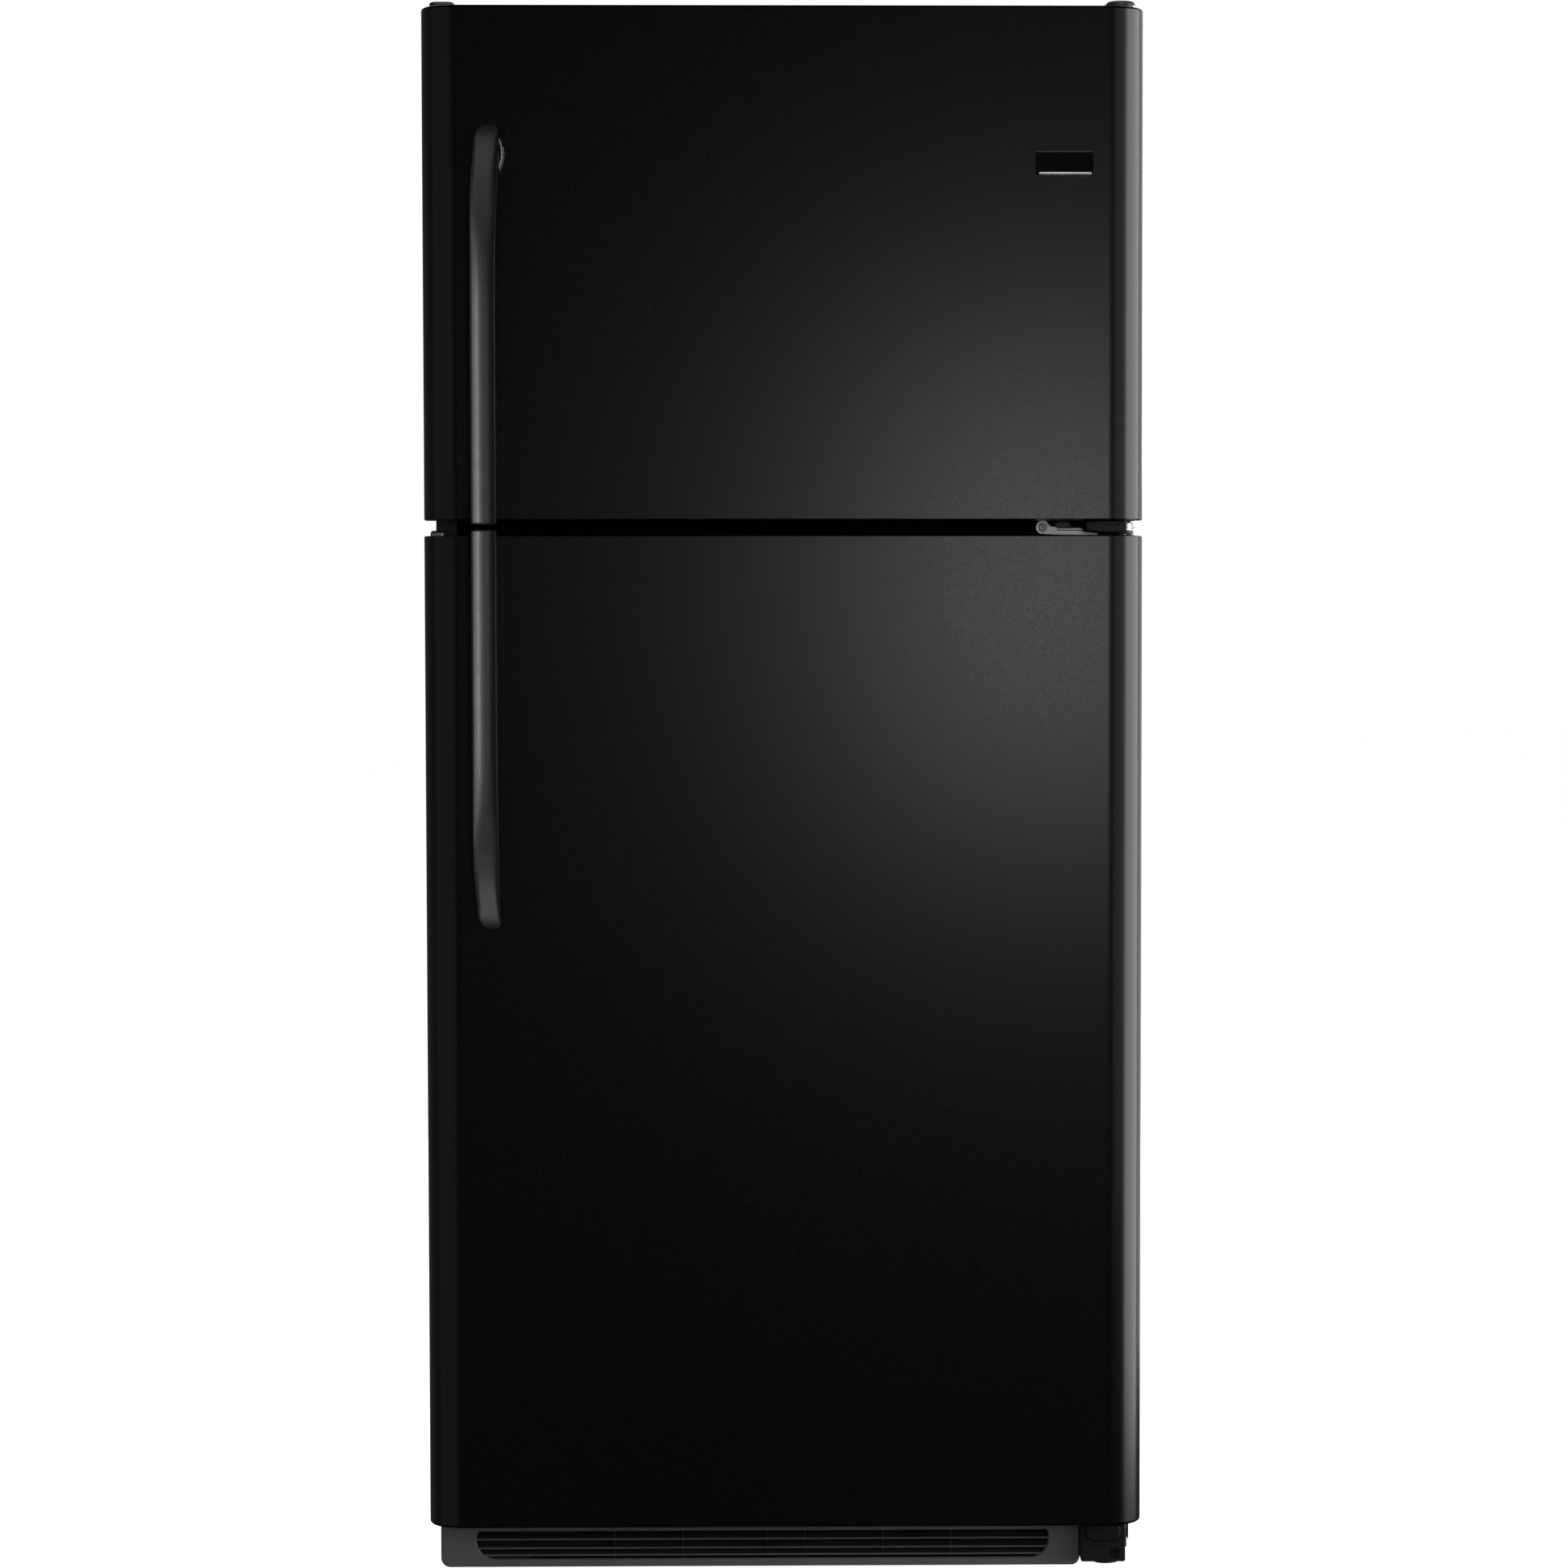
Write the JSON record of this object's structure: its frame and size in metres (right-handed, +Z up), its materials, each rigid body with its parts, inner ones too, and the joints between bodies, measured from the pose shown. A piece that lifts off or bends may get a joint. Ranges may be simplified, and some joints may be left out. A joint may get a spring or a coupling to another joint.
{
  "type": "top freezer refrigerator",
  "caption": "Free-standing black top-freezer refrigerator with two right-hinged doors, bar handles that meet at the gap, inner shelves and drawers, and a machine compartment.",
  "frame": {"origin": "on the floor under the middle of the overall bounding box", "axes": "+Z up, the doors face -Y, +X is the hinge side; seen from the front, +X is to the right"},
  "size_m": [0.762, 0.796, 1.679],
  "materials": {
    "painted_steel": "satin black paint with a fine pebbled texture",
    "black_plastic": "moulded black plastic, satin",
    "handle_plastic": "moulded black plastic, satin with a fine grain",
    "gasket_rubber": "soft black vinyl seal",
    "liner_plastic": "white formed plastic",
    "clear_plastic": "clear moulded plastic",
    "shelf_glass": "clear tempered glass",
    "insulation_foam": null,
    "hinge_steel": "plated steel",
    "zinc_steel": "galvanised sheet steel",
    "black_steel": "black painted steel",
    "evaporator_aluminium": "mill finish aluminium"
  },
  "bodies": {
    "cabinet": {"cabinet_shell": "painted_steel", "back_panel": "zinc_steel", "foam_insulation": "insulation_foam", "fresh_food_liner": "liner_plastic", "freezer_liner": "liner_plastic", "center_rail": "painted_steel", "base_pan": "zinc_steel", "base_frame": "zinc_steel", "compressor": "black_steel", "condenser_coil": "black_steel", "condenser_fan_motor": "zinc_steel", "rear_access_cover": "black_plastic", "toe_grille": "black_plastic", "top_hinge": "hinge_steel", "top_hinge_cover": "black_plastic", "center_hinge": "hinge_steel", "bottom_hinge": "black_steel", "bottom_hinge_cover": "black_plastic", "freezer_shelf": "hinge_steel", "evaporator_cover": "liner_plastic", "evaporator_coil": "evaporator_aluminium", "shelf_upper_frame": "liner_plastic", "shelf_upper_glass": "shelf_glass", "shelf_lower_frame": "liner_plastic", "shelf_lower_glass": "shelf_glass", "crisper_cover_frame": "liner_plastic", "crisper_cover_glass": "shelf_glass", "control_housing": "liner_plastic"},
    "freezer_door": {"freezer_door_skin": "painted_steel", "freezer_door_foam": "insulation_foam", "freezer_door_liner": "liner_plastic", "freezer_door_gasket": "gasket_rubber", "freezer_door_top_cap": "black_plastic", "freezer_door_bottom_cap": "black_plastic", "freezer_handle": "handle_plastic", "freezer_rack_lower": "clear_plastic", "freezer_rack_upper": "clear_plastic"},
    "fridge_door": {"fridge_door_skin": "painted_steel", "fridge_door_foam": "insulation_foam", "fridge_door_liner": "liner_plastic", "fridge_door_gasket": "gasket_rubber", "fridge_door_top_cap": "black_plastic", "fridge_door_bottom_cap": "black_plastic", "fridge_handle": "handle_plastic", "bin_lower": "clear_plastic", "bin_upper": "clear_plastic", "dairy_box": "liner_plastic"},
    "dairy_flap": {"dairy_flap": "clear_plastic"},
    "crisper_left": {"crisper_left": "clear_plastic"},
    "crisper_right": {"crisper_right": "clear_plastic"},
    "deli_drawer": {"deli_drawer": "clear_plastic"},
    "fresh_food_knob": {"fresh_food_knob": "liner_plastic"},
    "freezer_knob": {"freezer_knob": "liner_plastic"},
    "light_switch": {"light_switch": "liner_plastic"},
    "condenser_fan": {"condenser_fan": "black_plastic"},
    "evaporator_fan": {"evaporator_fan": "black_plastic"},
    "rear_roller_left": {"rear_roller_left": "black_plastic"},
    "rear_roller_right": {"rear_roller_right": "black_plastic"},
    "leveling_leg_left": {"leveling_leg_left": "hinge_steel"},
    "leveling_leg_right": {"leveling_leg_right": "hinge_steel"}
  },
  "joints": [
    {"name": "freezer_door_swing", "type": "hinge", "parent": "cabinet", "child": "freezer_door", "pos_m": [0.36, -0.306, 1.4], "axis": [0, 0, 1], "range_deg": [0, 120]},
    {"name": "fridge_door_swing", "type": "hinge", "parent": "cabinet", "child": "fridge_door", "pos_m": [0.36, -0.306, 0.6], "axis": [0, 0, 1], "range_deg": [0, 130]},
    {"name": "crisper_left_slide", "type": "slide", "parent": "cabinet", "child": "crisper_left", "axis": [0, -1, 0], "range_m": [0, 0.05]},
    {"name": "crisper_right_slide", "type": "slide", "parent": "cabinet", "child": "crisper_right", "axis": [0, -1, 0], "range_m": [0, 0.05]},
    {"name": "deli_drawer_slide", "type": "slide", "parent": "cabinet", "child": "deli_drawer", "axis": [0, -1, 0], "range_m": [0, 0.05]},
    {"name": "dairy_flap_lift", "type": "hinge", "parent": "fridge_door", "child": "dairy_flap", "pos_m": [0.15575, -0.186, 1.016], "axis": [1, 0, 0], "range_deg": [0, 80]},
    {"name": "fresh_food_knob_turn", "type": "hinge", "parent": "cabinet", "child": "fresh_food_knob", "pos_m": [-0.05, -0.15, 1.069], "axis": [0, 1, 0], "range_deg": [-135, 135]},
    {"name": "freezer_knob_turn", "type": "hinge", "parent": "cabinet", "child": "freezer_knob", "pos_m": [0.07, -0.15, 1.069], "axis": [0, 1, 0], "range_deg": [-135, 135]},
    {"name": "light_switch_press", "type": "slide", "parent": "cabinet", "child": "light_switch", "axis": [0, -1, 0], "range_m": [0, 0.006]},
    {"name": "condenser_fan_spin", "type": "hinge", "parent": "cabinet", "child": "condenser_fan", "pos_m": [0.056, 0.316, 0.138], "axis": [1, 0, 0], "continuous": true},
    {"name": "evaporator_fan_spin", "type": "hinge", "parent": "cabinet", "child": "evaporator_fan", "pos_m": [0, 0.288, 1.5], "axis": [0, 1, 0], "continuous": true},
    {"name": "rear_roller_left_spin", "type": "hinge", "parent": "cabinet", "child": "rear_roller_left", "pos_m": [-0.35, 0.35, 0.02], "axis": [1, 0, 0], "continuous": true},
    {"name": "rear_roller_right_spin", "type": "hinge", "parent": "cabinet", "child": "rear_roller_right", "pos_m": [0.35, 0.35, 0.02], "axis": [1, 0, 0], "continuous": true},
    {"name": "leveling_leg_left_turn", "type": "hinge", "parent": "cabinet", "child": "leveling_leg_left", "pos_m": [-0.349, -0.236, 0.03], "axis": [0, 0, 1], "continuous": true},
    {"name": "leveling_leg_right_turn", "type": "hinge", "parent": "cabinet", "child": "leveling_leg_right", "pos_m": [0.349, -0.236, 0.03], "axis": [0, 0, 1], "continuous": true}
  ],
  "couplings": [
    {"joint": "light_switch_press", "follows": "fridge_door_swing", "m_per_rad": 0.00264}
  ]
}
